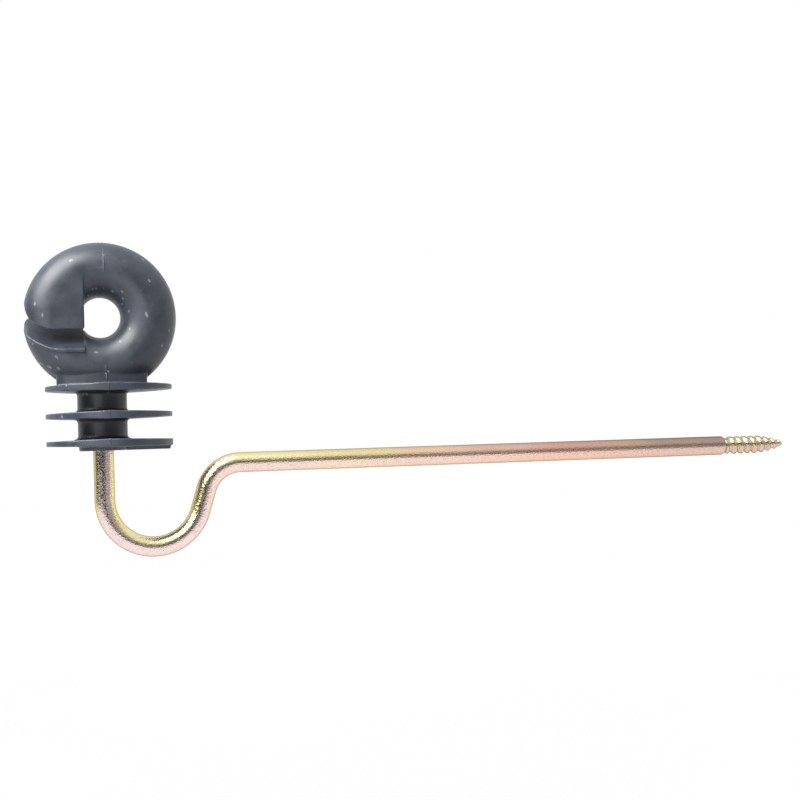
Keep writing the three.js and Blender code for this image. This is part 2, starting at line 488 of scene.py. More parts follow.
@dataclass(frozen=True)
class YellowZinc:
    """Electroplated zinc with a yellow chromate film on bright-drawn steel wire.

    It gives the eye a near mirror broken up by fine crystals. The film is straw yellow by the head and turns
    dusky pink towards the thread. It is pinker underneath and on its front and back, and painted paler there
    as a painted reflection of the bright floor; its crystals' valleys and the thread's crests are darkened
    with painted shade."""

    over: Stops = (
        (-160.0, "f3e6b2"),
        (-124.0, "e6d8a2"),
        (-98.0, "e5c6a8"),
        (-72.0, "d8b5a6"),
        (-52.0, "cfa396"),
        (-36.0, "c6a690"),
        (-16.0, "ad9688"),
    )  # mm along the shank, film on its upper side
    under_film_and_sheen: Stops = (
        (-185.0, "fbe4e0"),
        (-150.0, "fae0d4"),
        (-124.0, "fae2cb"),
        (-98.0, "f9dacb"),
        (-52.0, "f8cdbb"),
        (-16.0, "e9c8b9"),
    )  # mm along the shank, film on its underside: pinker, and paler as a painted reflection of the floor
    # the thread's film above and below; the paler one below is partly a painted reflection
    thread_over: str = "cfc59c"
    thread_under_film_and_sheen: str = "e2c9b4"
    painted_shade_colour: str = "6f5b50"  # painted shade in the crystals' valleys and on the thread's crests
    rim: str = "a8957a"  # what the film gives at a glancing angle
    pale_side: float = 0.62  # how far the pale, pinker underside colour reaches up the rod's front and back
    pale_down: float = 0.78
    pale_start: float = 0.42  # where the underside colour starts, and where it is full
    pale_full: float = 0.64
    span: float = 220.0  # mm, length that the colours are spread over
    drift_size: float = 9.0  # mm, wander of the film's edges
    drift: float = 16.0  # mm
    thread_edge: float = 0.8  # mm each side of the thread's start, over which its film sets in
    crystal_size: float = 0.6  # mm, zinc crystals, drawn coarse enough to show
    crystal_depth: float = 0.09  # mm
    valley_shade_strength: float = 0.2
    valley_shade_span: tuple[float, float] = (0.32, 0.5)  # the crystals' values over which a valley's painted shade fades
    crest_shade_strength: float = 0.8
    crest_shade_span: tuple[float, float] = (0.8, 0.97)  # how upright the thread's surface is where its painted shade sets in
    polish_span: tuple[float, float] = (0.3, 0.65)  # the crystals' values from the dullest to the brightest
    roughness_low: float = 0.18
    roughness_high: float = 0.34

    def film_along(
        self,
        tree: bpy.types.NodeTree,
        x: bpy.types.NodeSocket,
        stops: Stops,
        cut: bpy.types.NodeSocket,
        thread: str,
    ) -> bpy.types.NodeSocket:
        """Colours the film by its place along the shank, and evenly on the thread.

        Args:
            tree: The node tree.
            x: The place along the shank in metres, with the film's drift.
            stops: The shank's colours with their places in millimetres.
            cut: Where the thread is.
            thread: The thread's colour.

        Returns:
            The colour's socket.
        """
        share = add_node(
            tree, "ShaderNodeMapRange", inputs={"Value": x, "From Min": -self.span * MM, "From Max": 0.0}
        ).outputs["Result"]
        shank = add_node(
            tree,
            "ShaderNodeValToRGB",
            inputs={"Fac": share},
            stops=tuple((1 + place / self.span, colour) for place, colour in stops),
        ).outputs["Color"]
        return add_node(tree, "ShaderNodeMix", COLOURS, {0: cut, 6: shank, 7: linear(thread)}).outputs[2]

    def pale_underside_share(
        self, tree: bpy.types.NodeTree, across: bpy.types.NodeSocket, up: bpy.types.NodeSocket
    ) -> bpy.types.NodeSocket:
        """Finds how much of the pinker, paler underside colour a place takes, by which way the surface
        faces; its paleness is a painted reflection of the bright floor.

        Args:
            tree: The node tree.
            across: The normal's Y.
            up: The normal's Z.

        Returns:
            The share's socket, 1 under the rod.
        """
        either_side = add_node(
            tree, "ShaderNodeMath", {"operation": "ABSOLUTE"}, {0: across}
        ).outputs["Value"]
        sideways = add_node(
            tree, "ShaderNodeMath", {"operation": "MULTIPLY"}, {0: either_side, 1: self.pale_side}
        ).outputs["Value"]
        downward = add_node(
            tree, "ShaderNodeMath", {"operation": "MULTIPLY"}, {0: up, 1: -self.pale_down}
        ).outputs["Value"]
        facing = add_node(
            tree, "ShaderNodeMath", {"operation": "ADD"}, {0: sideways, 1: downward}
        ).outputs["Value"]
        share = add_node(
            tree,
            "ShaderNodeMapRange",
            EASED,
            {"Value": facing, "From Min": self.pale_start, "From Max": self.pale_full},
        )
        return share.outputs["Result"]

    def painted_shade_share(
        self,
        tree: bpy.types.NodeTree,
        crystals: bpy.types.NodeSocket,
        up: bpy.types.NodeSocket,
        cut: bpy.types.NodeSocket,
    ) -> bpy.types.NodeSocket:
        """Finds how much painted shade darkens the film, in the crystals' valleys and on the thread's
        crests.

        Args:
            tree: The node tree.
            crystals: The crystals.
            up: The normal's Z.
            cut: Where the thread is.

        Returns:
            The share's socket.
        """
        # painted shade in the crystals' valleys
        valleys = add_node(
            tree,
            "ShaderNodeMapRange",
            EASED,
            {
                "Value": crystals,
                "From Min": self.valley_shade_span[0],
                "From Max": self.valley_shade_span[1],
                "To Min": self.valley_shade_strength,
                "To Max": 0.0,
            },
        ).outputs["Result"]
        upright = add_node(tree, "ShaderNodeMath", {"operation": "ABSOLUTE"}, {0: up}).outputs["Value"]
        crests = add_node(
            tree,
            "ShaderNodeMapRange",
            EASED,
            {
                "Value": upright,
                "From Min": self.crest_shade_span[0],
                "From Max": self.crest_shade_span[1],
                "To Min": 0.0,
                "To Max": self.crest_shade_strength,
            },
        ).outputs["Result"]
        thread_crests = add_node(
            tree, "ShaderNodeMath", {"operation": "MULTIPLY"}, {0: crests, 1: cut}
        ).outputs["Value"]
        either = add_node(tree, "ShaderNodeMath", {"operation": "MAXIMUM"}, {0: valleys, 1: thread_crests})
        return either.outputs["Value"]

    def drifted(
        self, tree: bpy.types.NodeTree, place: bpy.types.NodeSocket, along: bpy.types.NodeSocket
    ) -> bpy.types.NodeSocket:
        """Shifts the place along the shank to and fro, so that the film's edges wander.

        Args:
            tree: The node tree.
            place: The object's coordinates.
            along: The place along the shank in metres.

        Returns:
            The shifted place's socket.
        """
        wander = add_node(
            tree,
            "ShaderNodeTexNoise",
            inputs={"Vector": place, "Scale": per_mm(self.drift_size), "Detail": 2.0, "Roughness": 0.5},
        ).outputs["Fac"]
        centred = add_node(
            tree, "ShaderNodeMath", {"operation": "SUBTRACT"}, {0: wander, 1: 0.5}
        ).outputs["Value"]
        shift = add_node(
            tree, "ShaderNodeMath", {"operation": "MULTIPLY"}, {0: centred, 1: self.drift * MM}
        ).outputs["Value"]
        return add_node(tree, "ShaderNodeMath", {"operation": "ADD"}, {0: along, 1: shift}).outputs["Value"]

    def material(self) -> bpy.types.Material:
        """Builds the finish.

        Returns:
            The material.
        """
        material, tree = new_material("yellow_chromated_zinc")
        place = add_node(tree, "ShaderNodeTexCoord").outputs["Object"]
        along = add_node(tree, "ShaderNodeSeparateXYZ", inputs={0: place}).outputs["X"]
        normal = add_node(tree, "ShaderNodeNewGeometry").outputs["Normal"]
        facing = add_node(tree, "ShaderNodeSeparateXYZ", inputs={0: normal}).outputs
        crystals = add_node(
            tree,
            "ShaderNodeTexNoise",
            inputs={"Vector": place, "Scale": per_mm(self.crystal_size), "Detail": 1.0, "Roughness": 0.6},
        ).outputs["Fac"]
        cut = add_node(
            tree,
            "ShaderNodeMapRange",
            EASED,
            {"Value": along, "From Min": -self.thread_edge * MM, "From Max": self.thread_edge * MM},
        ).outputs["Result"]
        drifted = self.drifted(tree, place, along)
        over = self.film_along(tree, drifted, self.over, cut, self.thread_over)
        under_film_and_sheen = self.film_along(tree, drifted, self.under_film_and_sheen, cut, self.thread_under_film_and_sheen)
        # painted reflection: faces turned down, to the front and to the back take the paler, pinker film
        pale_underside_share = self.pale_underside_share(tree, facing["Y"], facing["Z"])
        film = add_node(tree, "ShaderNodeMix", COLOURS, {0: pale_underside_share, 6: over, 7: under_film_and_sheen}).outputs[2]
        # painted shade: the film is darkened in the crystals' valleys and on the thread's crests
        painted_shade_share = self.painted_shade_share(tree, crystals, facing["Z"], cut)
        colour = add_node(tree, "ShaderNodeMix", COLOURS, {0: painted_shade_share, 6: film, 7: linear(self.painted_shade_colour)})
        polish = add_node(
            tree,
            "ShaderNodeMapRange",
            EASED,
            {
                "Value": crystals,
                "From Min": self.polish_span[0],
                "From Max": self.polish_span[1],
                "To Min": self.roughness_high,
                "To Max": self.roughness_low,
            },
        ).outputs["Result"]
        bump = add_node(
            tree,
            "ShaderNodeBump",
            inputs={"Height": crystals, "Strength": 1.0, "Distance": self.crystal_depth * MM},
        )
        shader = add_node(
            tree,
            "ShaderNodeBsdfPrincipled",
            inputs={
                "Base Color": colour.outputs[2],
                "Metallic": 1.0,
                "Roughness": polish,
                "Specular Tint": linear(self.rim),
                "Normal": bump.outputs["Normal"],
            },
        )
        add_node(tree, "ShaderNodeOutputMaterial", inputs={"Surface": shader.outputs["BSDF"]})
        return material


@dataclass(frozen=True)
class StudioFloor:
    """Pale matte board. It gives the eye an almost white ground with a faint mottle and a faint glow."""

    colour: str = "f4f4f4"
    mottle_colour: str = "f1f1f1"
    mottle_scale: float = 3.0  # patches to the metre
    glow: float = 0.22
    roughness: float = 0.9

    def material(self) -> bpy.types.Material:
        """Builds the finish.

        Returns:
            The material.
        """
        material, tree = new_material("pale_studio_board")
        place = add_node(tree, "ShaderNodeTexCoord").outputs["Object"]
        mottle = add_node(
            tree, "ShaderNodeTexNoise", inputs={"Vector": place, "Scale": self.mottle_scale, "Detail": 2.0}
        ).outputs["Fac"]
        board = add_node(
            tree,
            "ShaderNodeValToRGB",
            inputs={"Fac": mottle},
            stops=((0.3, self.mottle_colour), (0.7, self.colour)),
        ).outputs["Color"]
        shader = add_node(
            tree,
            "ShaderNodeBsdfPrincipled",
            inputs={
                "Base Color": board,
                "Roughness": self.roughness,
                "Emission Color": linear(self.colour),
                "Emission Strength": self.glow,
            },
        )
        add_node(tree, "ShaderNodeOutputMaterial", inputs={"Surface": shader.outputs["BSDF"]})
        return material


# ---- The moulded head ---------------------------------------------------------------------------


@dataclass
class HeadMoulding:
    """The one-piece plastic head: ring with its wire slot, pedestal, three sheds, neck and collar.

    Sizes are in millimetres. Heights and distances are from the ring's centre unless they say otherwise."""

    crest_radius: float = 14.075  # the round centre line that the ring's tube follows
    tube_radius: float = 8.175
    cheek_edge: float = 4.8  # out to the straight edge beside the hole
    cheek_inset: float = 0.02  # how far the flat sides lie inside the ring's crest
    slot_gap: float = 5.5
    slot_slope: float = 0.65  # its rise over its run, through the ring's thickness
    slot_drop: float = 1.2  # its middle surface below the ring's centre
    mouth_rise: float = 1.5  # how far it turns up between the crest and the rim
    upper_jaw_round: float = 2.6
    lower_jaw_round: float = 1.6
    lip_width: float = 0.95
    lip_height: float = 0.35
    lip_root: float = 0.3  # how far the lip starts inside the slot, so that the slot cuts it flush
    mouth_stations: tuple[float, ...] = (2.0, 4.0, 5.6, 6.2, 6.8, 7.3, 7.7, 8.0)  # out from the ring's crest
    clear_stations: tuple[float, ...] = (8.7, 10.0)  # past the rim
    fin_radius: float = 18.4
    fin_offset: float = 2.0  # the fins' centre from the leg's axis, towards the post
    fin_pitch: float = 8.05
    fin_count: int = 3
    fin_centre_thickness: float = 2.4  # at the mould's parting plane
    fin_edge_thickness: float = 1.45
    parting: float = 1.1  # the parting plane from the leg's axis, towards the post
    neck_radius: float = 7.2
    fillet: float = 0.9
    collar_radius: float = 7.0
    collar_height: float = 1.1
    collar_edge: float = 0.2
    web_thickness: float = 3.0
    web_setback: float = 0.6
    web_draft: float = 0.08  # slope of its sides, for the mould
    web_end_draft: float = 0.2
    web_foot_inset: float = 0.25
    web_end_inset: float = 0.3
    pedestal_width: float = 26.0
    pedestal_depth: float = 15.6
    pedestal_bow: float = 15.5  # half the length of the oval that its front and back follow
    bore_radius: float = 3.05
    pocket_radius: float = 4.4
    pocket_gap: float = 0.05  # between the plastic and the rod's upset end, above and below it
    anchor_top_below_ring: float = 11.9
    anchor_thickness: float = 2.2
    flash_size: float = 0.16  # height and half the width of the mould's parting line
    flash_inside: float = 12.6  # the line shows this far out from the ring's centre, above it
    flash_foot: float = 14.4  # and this far below it, on the pedestal
    flash_fin_gap: float = 1.3  # from the top fin's middle up to where the pedestal's line ends
    flash_rim: float = 0.4  # how far in from a fin's rim the line starts
    grain: float = 0.25  # voxel of the final skin
    skin_triangles: int = 185_000
    overrun: float = 5.0  # how far a cutting body reaches past what it cuts
    axis_x: float = field(init=False)
    ring_z: float = field(init=False)
    collar_z: float = field(init=False)

    def __post_init__(self) -> None:
        """Finds the head's place from the CAD node's box."""
        low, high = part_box("insulator_head")
        self.axis_x = high[0] / MM - self.crest_radius - self.tube_radius
        self.ring_z = high[2] / MM - self.crest_radius - self.tube_radius
        self.collar_z = low[2] / MM

    @property
    def bottom_fin_z(self) -> float:
        """Height of the lowest fin's middle, in the row frame."""
        return self.collar_z + self.collar_height + self.fin_centre_thickness / 2

    @property
    def top_fin_z(self) -> float:
        """Height of the top fin's middle, in the row frame."""
        return self.bottom_fin_z + (self.fin_count - 1) * self.fin_pitch

    @property
    def outer_radius(self) -> float:
        """The ring's outer radius."""
        return self.crest_radius + self.tube_radius

    def ring(self, growth: float) -> bpy.types.Object:
        """Makes the ring's round body.

        Args:
            growth: How far it is grown outwards.

        Returns:
            The body.
        """
        bpy.ops.mesh.primitive_torus_add(
            location=(self.axis_x, 0, self.ring_z),
            rotation=(math.pi / 2, 0, 0),
            major_segments=180,
            minor_segments=80,
            major_radius=self.crest_radius,
            minor_radius=self.tube_radius + growth,
        )
        return settle("ring")

    def cheeks(self, growth: float) -> bpy.types.Object:
        """Makes the flat-sided block between the ring's crest and the straight edge beside the hole.

        Args:
            growth: How far its flat sides are grown outwards.

        Returns:
            The block.
        """
        bpy.ops.mesh.primitive_cylinder_add(
            vertices=180,
            radius=self.crest_radius,
            depth=2 * (self.tube_radius + growth - self.cheek_inset),
            location=(self.axis_x, 0, self.ring_z),
            rotation=(math.pi / 2, 0, 0),
        )
        block = settle("cheeks")
        with editing(block):
            shear_off((self.axis_x - self.cheek_edge, 0, self.ring_z), (1, 0, 0))
        return block

    def slot_bar(self, low: float, high: float, flared: bool) -> bpy.types.Object:
        """Makes a bar that leans with the slot and turns up with it towards the rim.

        Args:
            low: The bar's lower face, in height from the slot's middle surface.
            high: Its upper face.
            flared: Whether the bar opens out at the rim, so that it rounds the jaws it cuts.

        Returns:
            The bar.
        """
        lean = math.atan(self.slot_slope)
        thickness = (high - low) * math.cos(lean)
        middle = self.ring_z - self.slot_drop + (low + high) / 2
        start = self.axis_x - self.cheek_edge
        end = self.axis_x - self.crest_radius
        bpy.ops.mesh.primitive_cube_add(
            size=1,
            location=((start + end) / 2, 0, middle),
            rotation=(lean, 0, 0),
            scale=(start - end, 3 * self.outer_radius, thickness),
        )
        bar = settle("slot_bar")
        with editing(bar):
            x = end
            for station in (*self.mouth_stations, self.tube_radius, *self.clear_stations):
                pick(bar, Select.FACES, lambda place: place.x < x + 1e-3)
                extrude((end - station - x, 0, self.mouth_rise * (end - station - x) / -self.tube_radius))
                x = end - station
                if flared:
                    self.open_jaws(bar, x, station, middle)
        return bar

    def open_jaws(self, bar: bpy.types.Object, x: float, station: float, middle: float) -> None:
        """Opens the slot's bar out at its last station, for the rounding of both jaws.

        Args:
            bar: The bar, in edit mode.
            x: Where its end is now.
            station: How far that is out from the ring's crest.
            middle: The height of the slot's middle surface beside the hole.
        """
        level = middle + self.mouth_rise * station / self.tube_radius
        for side, radius in ((1, self.upper_jaw_round), (-1, self.lower_jaw_round)):
            pick(bar, Select.VERTS, lambda place: place.x < x + 1e-3 and self.above(place, level, side))
            step = side * self.flare(self.tube_radius - station, radius)
            bpy.ops.transform.translate(value=(0, 0, step))

    def above(self, place: Vector, middle: float, side: int) -> bool:
        """Tells whether a place is above the slot's middle surface, or below it for a side of -1."""
        return side * (place.z - middle - self.slot_slope * place.y) > 0

    def flare(self, inside: float, radius: float) -> float:
        """Finds how far the slot has opened.

        Args:
            inside: The depth inside the rim.
            radius: The radius that the jaw is rounded to.

        Returns:
            The opening's growth on that jaw's side.
        """
        if inside >= radius:
            return 0.0
        if inside <= 0:
            return radius - inside
        return radius - math.sqrt(radius**2 - (radius - inside) ** 2)

    def fin(self, z: float, flat_underside: bool) -> bpy.types.Object:
        """Makes one shed, thickest at the mould's parting plane.

        Args:
            z: The height of its middle.
            flat_underside: Whether its underside stays level on the post's side, where a web meets it.

        Returns:
            The shed.
        """
        centre = self.axis_x + self.fin_offset
        bpy.ops.mesh.primitive_cylinder_add(
            vertices=192,
            radius=self.fin_radius,
            depth=self.fin_centre_thickness,
            location=(centre, 0, z),
        )
        shed = settle("fin")
        rise = (self.fin_centre_thickness - self.fin_edge_thickness) / 2
        parting = self.axis_x + self.parting
        with editing(shed):
            for side in (-1, 1):
                run = abs(centre + side * self.fin_radius - parting)
                for face in (-1, 1):
                    if flat_underside and side == 1 and face == -1:
                        continue
                    ridge_line = (parting, 0, z + face * self.fin_centre_thickness / 2)
                    shear_off(ridge_line, (side * rise, 0, face * run))
        return shed

    def neck_bay(self) -> bpy.types.Object:
        """Makes the round neck between the two lower fins, with a fillet at each end.

        Returns:
            The neck.
        """
        low = self.bottom_fin_z + self.fin_centre_thickness / 2
        high = low + self.fin_pitch - self.fin_centre_thickness
        sunk = 0.5
        widest = self.neck_radius + self.fillet
        profile = [(widest, low - sunk)]
        arc = [math.radians(a) for a in (0, 22.5, 45, 67.5, 90)]
        for end, way, turns in ((low, 1, arc), (high, -1, reversed(arc))):
            for turn in turns:
                radius = self.neck_radius + self.fillet * (1 - math.sin(turn))
                profile.append((radius, end + way * self.fillet * (1 - math.cos(turn))))
        profile.append((widest, high + sunk))
        return turned("neck_bay", (self.axis_x, 0), profile, 96)

    def collar(self) -> bpy.types.Object:
        """Makes the low collar round the rod, with its lower edge broken.

        Returns:
            The collar.
        """
        radius, low, edge = self.collar_radius, self.collar_z, self.collar_edge
        profile = [(radius - edge, low), (radius, low + edge), (radius, self.bottom_fin_z)]
        return turned("collar", (self.axis_x, 0), profile, 96)

    def web(self) -> bpy.types.Object:
        """Makes the web under the bottom fin, flush with the collar, with its end sloped for the mould.

        Returns:
            The web.
        """
        end = self.axis_x + self.fin_offset + self.fin_radius - self.web_setback
        middle = ((self.axis_x + end) / 2, 0, (self.collar_z + self.bottom_fin_z) / 2)
        bpy.ops.mesh.primitive_cube_add(
            size=1,
            location=middle,
            scale=(end - self.axis_x, self.web_thickness, self.bottom_fin_z - self.collar_z),
        )
        web = settle("web")
        with editing(web):
            shear_off((end - self.web_end_inset, 0, self.collar_z), (1, 0, -self.web_end_draft))
            for side in (-1, 1):
                foot = side * (self.web_thickness / 2 - self.web_foot_inset)
                shear_off((0, foot, self.collar_z), (0, side, -self.web_draft))
        return web

    def pedestal(self) -> bpy.types.Object:
        """Makes the block that carries the ring: a round front and back between two flat ends.

        Returns:
            The block.
        """
        low = self.top_fin_z
        high = self.ring_z - self.crest_radius
        bpy.ops.mesh.primitive_cylinder_add(
            vertices=160,
            radius=1,
            depth=high - low,
            location=(self.axis_x, 0, (low + high) / 2),
            scale=(self.pedestal_bow, self.pedestal_depth / 2, 1),
        )
        block = settle("pedestal")
        with editing(block):
            for side in (-1, 1):
                shear_off((self.axis_x + side * self.pedestal_width / 2, 0, 0), (side, 0, 0))
        return block

    def rod_bore(self) -> bpy.types.Object:
        """Makes the space that the rod's leg and its upset end take in the plastic.

        Returns:
            The space, as a body that cuts.
        """
        top = self.ring_z - self.anchor_top_below_ring + self.pocket_gap
        shoulder = top - self.anchor_thickness - 2 * self.pocket_gap
        profile = [
            (self.bore_radius, self.collar_z - self.overrun),
            (self.bore_radius, shoulder),
            (self.pocket_radius, shoulder),
            (self.pocket_radius, top),
        ]
        return turned("rod_bore", (self.axis_x, 0), profile, 64)

    def build(self) -> bpy.types.Object:
        """Models the head.

        Returns:
            The head in metres, with no finish yet.
        """
        half = self.slot_gap / 2
        slot = self.slot_bar(-half, half, flared=True)
        parts = [self.ring(0), self.cheeks(0)]
        for grown in (self.ring(self.lip_height), self.cheeks(self.lip_height)):
            lip_bar = self.slot_bar(-half - self.lip_width, -half + self.lip_root, flared=False)
            combine(grown, lip_bar, Cut.KEEP_COMMON)
            parts.append(grown)
        for part in parts:
            combine(part, slot, Cut.SUBTRACT, keep_tool=True)
        bpy.data.objects.remove(slot, do_unlink=True)
        bay = self.neck_bay()
        bays = [bay] + [copy_of(bay, (0, 0, i * self.fin_pitch)) for i in range(1, self.fin_count - 1)]
        fins = [self.fin(self.bottom_fin_z + i * self.fin_pitch, i == 0) for i in range(self.fin_count)]
        bore = self.rod_bore()
        bored = [*fins, *bays, self.collar(), self.web(), self.pedestal(), parts[0]]
        for part in bored:
            combine(part, bore, Cut.SUBTRACT, keep_tool=True)
        bpy.data.objects.remove(bore, do_unlink=True)
        head = join(parts + bored[:-1], "ring_head_moulding")
        self.skin(head)
        self.parting_flash(head)
        bring_to_metres(head)
        return head

    def skin(self, head: bpy.types.Object) -> None:
        """Fuses the head's bodies into one skin with softly broken edges.

        Args:
            head: The joined bodies, in millimetres.
        """
        apply_modifier(head, "REMESH", mode="VOXEL", voxel_size=self.grain, adaptivity=0.0)
        apply_modifier(head, "SMOOTH", factor=0.5, iterations=3)
        triangles = sum(len(face.vertices) - 2 for face in head.data.polygons)
        log.info("skin has %d triangles before thinning", triangles)
        if triangles > self.skin_triangles:
            apply_modifier(head, "DECIMATE", ratio=self.skin_triangles / triangles)

    def parting_flash(self, head: bpy.types.Object) -> None:
        """Raises the thin line that the mould's halves leave across the ring, the pedestal and the rims.

        Args:
            head: The skinned head, in millimetres.
        """
        line_x = self.axis_x + self.parting
        reach = 1.5  # the faces that the line's cuts may cross
        with editing(head):
            for shift in (-self.flash_size, 0.0, self.flash_size):
                pick(head, Select.FACES, lambda place: abs(place.x - line_x) < reach)
                bpy.ops.mesh.bisect(plane_co=(line_x + shift, 0, 0), plane_no=(1, 0, 0))
            pick(head, Select.VERTS, lambda place: abs(place.x - line_x) < 0.01 and self.has_flash(place))
            bpy.ops.transform.shrink_fatten(value=self.flash_size)

    def has_flash(self, place: Vector) -> bool:
        """Tells whether the parting line shows at a place.

        Args:
            place: The place, in millimetres.

        Returns:
            Whether it is outside the ring's crest, on the pedestal or on a fin's rim.
        """
        height = place.z - self.ring_z
        above_fins = self.top_fin_z - self.ring_z + self.flash_fin_gap
        if height > 0:
            return math.hypot(height, place.x - self.axis_x) > self.flash_inside
        if height > above_fins:
            return height < -self.flash_foot
        rim = self.fin_radius - self.flash_rim
        return math.hypot(place.x - self.axis_x - self.fin_offset, place.y) > rim


def turned(
    name: str, axis: tuple[float, float], profile: list[tuple[float, float]], sides: int
) -> bpy.types.Object:
    """Makes an upright turned solid by drawing a disc up through its sections.

    Args:
        name: The object's name.
        axis: The upright axis, as x and y.
        profile: The radius and height of each section, from the lowest up.
        sides: How many sides a section has.

    Returns:
        The closed solid.
    """
    radius, height = profile[0]
    bpy.ops.mesh.primitive_circle_add(
        vertices=sides, radius=radius, fill_type="NGON", location=(axis[0], axis[1], height)
    )
    solid = settle(name)
    with editing(solid):
        bpy.ops.mesh.select_all(action="SELECT")
        for next_radius, next_height in profile[1:]:
            extrude((0, 0, next_height - height))
            scale = next_radius / radius
            middle = (axis[0], axis[1], next_height)
            bpy.ops.transform.resize(value=(scale, scale, 1), center_override=middle)
            radius, height = next_radius, next_height
        bpy.ops.mesh.select_all(action="SELECT")
        bpy.ops.mesh.remove_doubles(threshold=1e-4)
        bpy.ops.mesh.normals_make_consistent(inside=False)
    return solid


# ---- The screw shank ----------------------------------------------------------------------------


@dataclass
class ScrewShank:
    """The bent steel rod: upset end, leg, U-bend, rise, top bend, long shank and wood-screw thread.

    Sizes are in millimetres, in the row frame. Its origin is on the shank's axis where the thread begins."""

    rod_radius: float = 3.0
    anchor_radius: float = 4.3
    anchor_thickness: float = 2.2
    anchor_edge: float = 0.3
    u_radius: float = 14.3
    u_drop: float = 9.8  # the U-bend's centre below the shank's axis
    rise_angle: float = 73.0  # degrees above level of the rod between its two bends
    top_radius: float = 10.8
    shank_stations: int = 16
    neck_down: tuple[tuple[float, float], ...] = ((-0.25, 0.06), (0.1, 0.3))  # place, depth off the rod
    root_radius: float = 2.15
    thread_radius: float = 2.82
    thread_length: float = 21.0
    pitch: float = 2.4
    point_length: float = 8.5
    point_stations: int = 14
    point_crowding: float = 1.6  # how much closer the stations lie at the tip
    tip_radius: float = 0.3
    ridge_start: float = 0.4
    ridge_stop: float = 0.5  # before the tip
    fade_in: float = 1.6
    fade_out: float = 7.5
    fade_least: float = 0.35  # the ridge's share of its full size at its ends
    sides: int = 64
    turn_steps: int = 32
    bend_step: float = 2.5  # degrees
    axis_x: float = field(init=False)
    anchor_top: float = field(init=False)

    def __post_init__(self) -> None:
        """Finds the leg's axis and its top from the CAD node's box."""
        low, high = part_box("screw_shank")
        self.axis_x = low[0] / MM + self.anchor_radius
        self.anchor_top = high[2] / MM

    def core_radius(self, x: float) -> float:
        """Finds the radius of the thread's core.

        Args:
            x: The distance from where the thread begins.

        Returns:
            The radius.
        """
        taper = max((self.thread_length - x) / self.point_length, 0.0)
        if taper >= 1:
            return self.root_radius
        return self.tip_radius + (self.root_radius - self.tip_radius) * math.sqrt(taper)

    def rod(self) -> bpy.types.Object:
        """Sweeps the rod from its upset end in the head to the tip of its point.

        Returns:
            The rod, with no ridge yet.
        """
        rise = math.radians(self.rise_angle)
        u_centre = (self.axis_x + self.u_radius, 0, -self.u_drop)
        climb = self.u_drop + self.u_radius * math.cos(rise) - self.top_radius * (1 - math.cos(rise))
        straight = climb / math.sin(rise)
        bends_width = (self.u_radius + self.top_radius) * math.sin(rise)
        top_x = u_centre[0] + bends_width + straight * math.cos(rise)
        end_radius = self.anchor_radius - self.anchor_edge
        shoulder_z = self.anchor_top - self.anchor_thickness
        bpy.ops.mesh.primitive_circle_add(
            vertices=self.sides,
            radius=end_radius,
            fill_type="NGON",
            location=(self.axis_x, 0, self.anchor_top),
        )
        rod = settle("zinc_screw_shank")
        with editing(rod):
            bpy.ops.mesh.select_all(action="SELECT")
            edge_z = self.anchor_top - self.anchor_edge
            self.draw_down(self.anchor_edge, self.anchor_radius / end_radius, edge_z)
            self.draw_down(self.anchor_thickness - self.anchor_edge, 1, 0)
            self.draw_down(0.0, self.rod_radius / self.anchor_radius, shoulder_z)
            self.draw_down(shoulder_z + self.u_drop, 1, 0)
            self.bend(u_centre, 90 + self.rise_angle, 1)
            extrude((straight * math.cos(rise), 0, straight * math.sin(rise)))
            self.bend((top_x, 0, -self.top_radius), self.rise_angle, -1)
            self.draw_shank(top_x)
            bpy.ops.mesh.select_all(action="SELECT")
            bpy.ops.mesh.remove_doubles(threshold=1e-4)
            bpy.ops.mesh.normals_make_consistent(inside=False)
        return rod

    def draw_down(self, length: float, scale: float, level: float) -> None:
        """Extrudes the selected end down the leg and then scales it about the leg's axis.

        Args:
            length: How far it is drawn.
            scale: The end's scale across the leg.
            level: The height that the end has come to.
        """
        extrude((0, 0, -length))
        if scale != 1:
            bpy.ops.transform.resize(value=(scale, scale, 1), center_override=(self.axis_x, 0, level))

    def bend(self, centre: Point, degrees: float, way: int) -> None:
        """Sweeps the selected end round a bend in the XZ plane.

        Args:
            centre: The bend's centre.
            degrees: How far it turns.
            way: 1 for a bend that rises, -1 for one that levels off.
        """
        bpy.ops.mesh.spin(
            steps=round(degrees / self.bend_step),
            angle=way * math.radians(degrees),
            center=centre,
            axis=(0, 1, 0),
            use_auto_merge=False,
        )

    def draw_shank(self, start: float) -> None:
        """Extrudes the selected end along the shank and down through the thread's core to the point.

        Args:
            start: Where the straight shank starts.
        """
        shoulder = self.rod_radius - self.root_radius
        straight = -start - shoulder
        sections = [
            (start + straight * i / self.shank_stations, self.rod_radius)
            for i in range(1, self.shank_stations + 1)
        ]
        sections += [(place, self.rod_radius - depth) for place, depth in self.neck_down]
        sections.append((shoulder, self.root_radius))
        for i in range(self.point_stations + 1):
            share = 1 - (1 - i / self.point_stations) ** self.point_crowding
            x = self.thread_length - self.point_length + self.point_length * share
            sections.append((x, self.core_radius(x)))
        x, radius = start, self.rod_radius
        for next_x, next_radius in sections:
            extrude((next_x - x, 0, 0))
            scale = next_radius / radius
            bpy.ops.transform.resize(value=(1, scale, scale), center_override=(next_x, 0, 0))
            x, radius = next_x, next_radius

    def ridge_outline(self) -> list[tuple[float, float]]:
        """Draws the ridge's section, from its sunk foot over its round back to its other foot.

        Returns:
            Its points, as the distance along the shank and the height above the core.
        """
        height = self.thread_radius - self.root_radius
        flank = [(-1.15, -0.4), (-0.98, 0.0), (-0.72, 0.55 * height), (-0.42, 0.9 * height)]
        return [*flank, (0.0, height), *((-x, z) for x, z in reversed(flank))]

